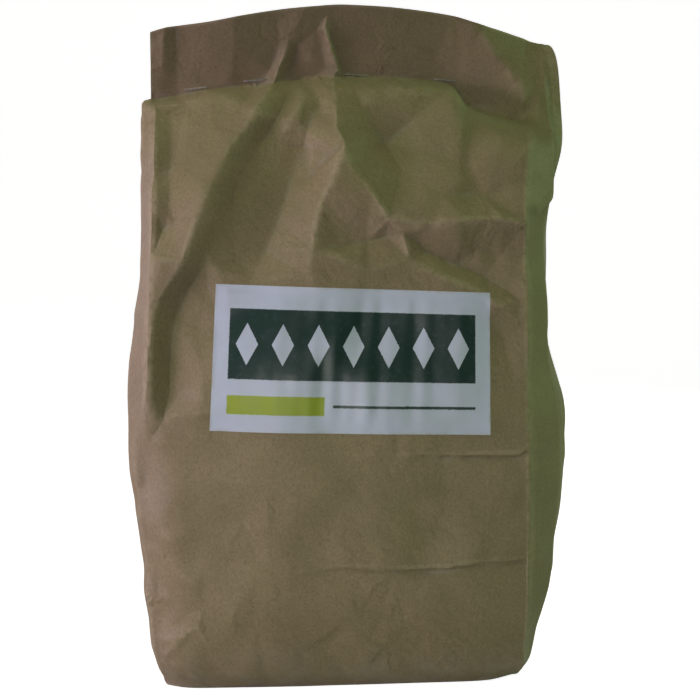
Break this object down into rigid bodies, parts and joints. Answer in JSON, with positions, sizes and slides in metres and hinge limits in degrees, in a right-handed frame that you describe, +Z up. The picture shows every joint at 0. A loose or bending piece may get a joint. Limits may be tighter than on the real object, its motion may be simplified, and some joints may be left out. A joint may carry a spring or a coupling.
{
  "type": "cement bag",
  "caption": "Small gusseted paper sack of cement that stands on its folded bottom, stapled shut at the top, with a label on its front panel.",
  "frame": {"origin": "centre of the object's box, at the level of the floor it stands on", "axes": "+Z up, the labelled front panel faces -Y, +X to the right as the front is seen"},
  "size_m": [0.244, 0.1156, 0.3705],
  "materials": {
    "kraft_paper": "matte",
    "label_paper": "satin",
    "staple_steel": "satin"
  },
  "bodies": {
    "root": {"paper_sack": "kraft_paper", "label": "label_paper", "staple_1": "staple_steel", "staple_2": "staple_steel", "staple_3": "staple_steel", "staple_4": "staple_steel"}
  },
  "joints": []
}
